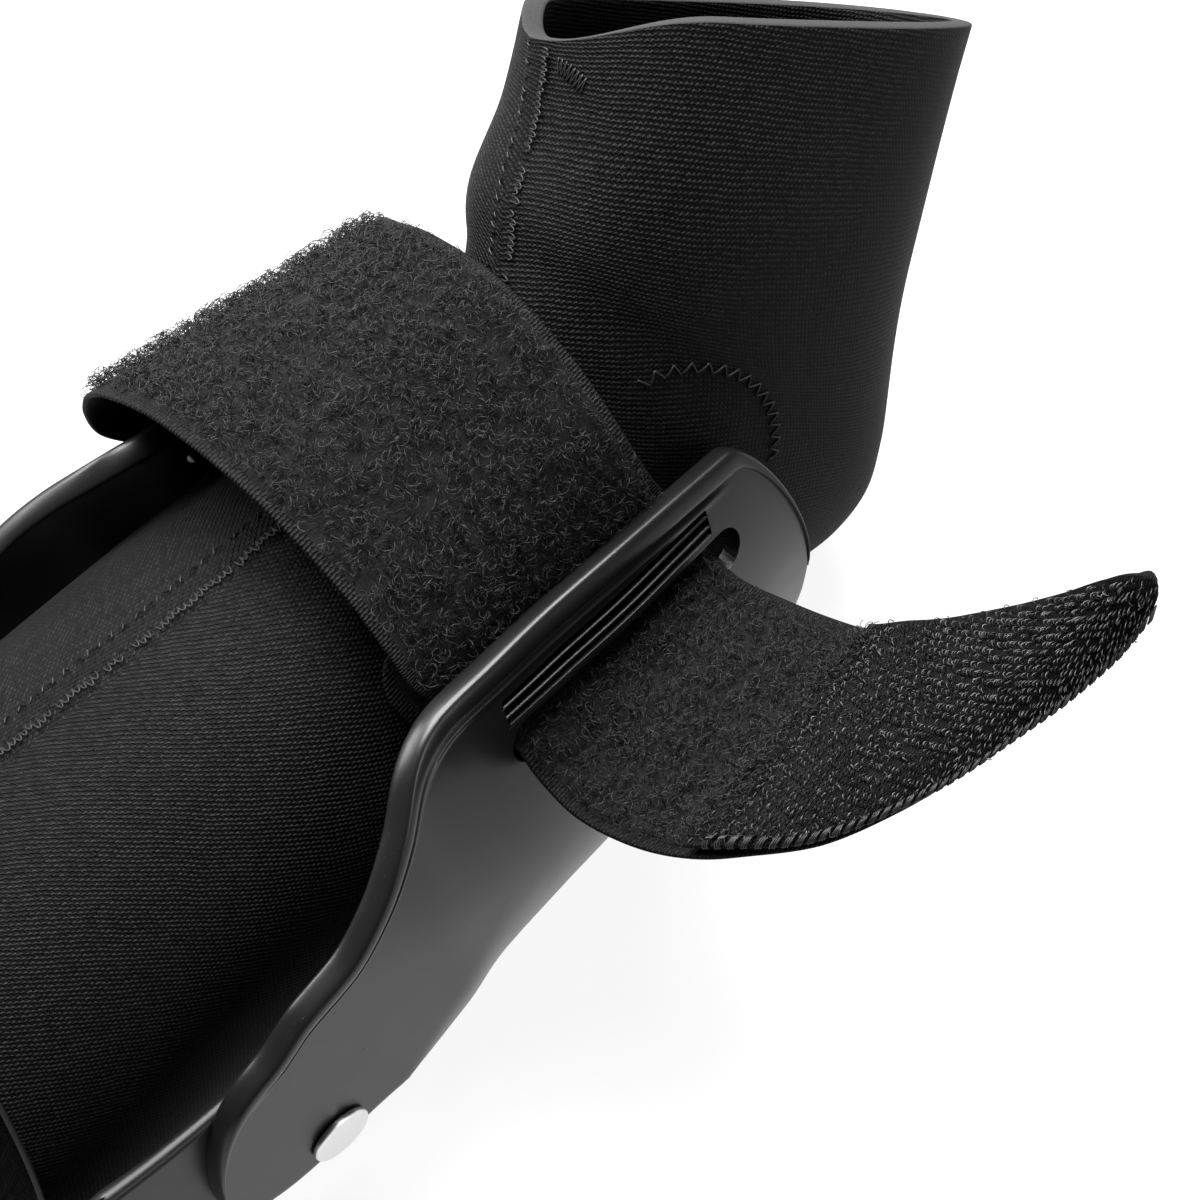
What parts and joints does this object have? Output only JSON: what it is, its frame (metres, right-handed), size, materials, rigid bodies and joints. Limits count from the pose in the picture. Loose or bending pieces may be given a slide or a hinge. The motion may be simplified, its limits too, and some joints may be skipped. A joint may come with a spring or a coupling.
{
  "type": "hinged ankle support wrap",
  "caption": "Bent neoprene ankle sleeve held by slotted plastic side shells, a hinged heel stirrup and a wide hook-and-loop strap.",
  "frame": {"origin": "under the middle of the part's box, on the surface that it lies on", "axes": "+X runs up the leg from the heel stirrup to the foot end of the bent sleeve, +Z points to the front of the leg, +Y to the wearer-left shell"},
  "size_m": [0.3106, 0.176, 0.1536],
  "materials": {
    "neoprene": "black knitted jersey over foam rubber",
    "shell_plastic": "black moulded plastic, satin gloss with fine scratches",
    "stirrup_plastic": "black moulded plastic, satin gloss",
    "rivet_metal": "polished steel",
    "loop_webbing": "black loop pile with woven edges",
    "hook_tape": "black woven hook tape"
  },
  "bodies": {
    "brace": {"sleeve": "neoprene", "shell_left": "shell_plastic", "shell_right": "shell_plastic", "rivet_left": "rivet_metal", "rivet_right": "rivet_metal", "strap": "loop_webbing", "hook_tab": "hook_tape"},
    "stirrup": {"stirrup": "stirrup_plastic"}
  },
  "joints": [
    {"name": "stirrup_hinge", "type": "hinge", "parent": "brace", "child": "stirrup", "pos_m": [-0.0647, 0.03154, 0.03115], "axis": [0, 1, 0], "range_deg": [-35, 25]}
  ]
}
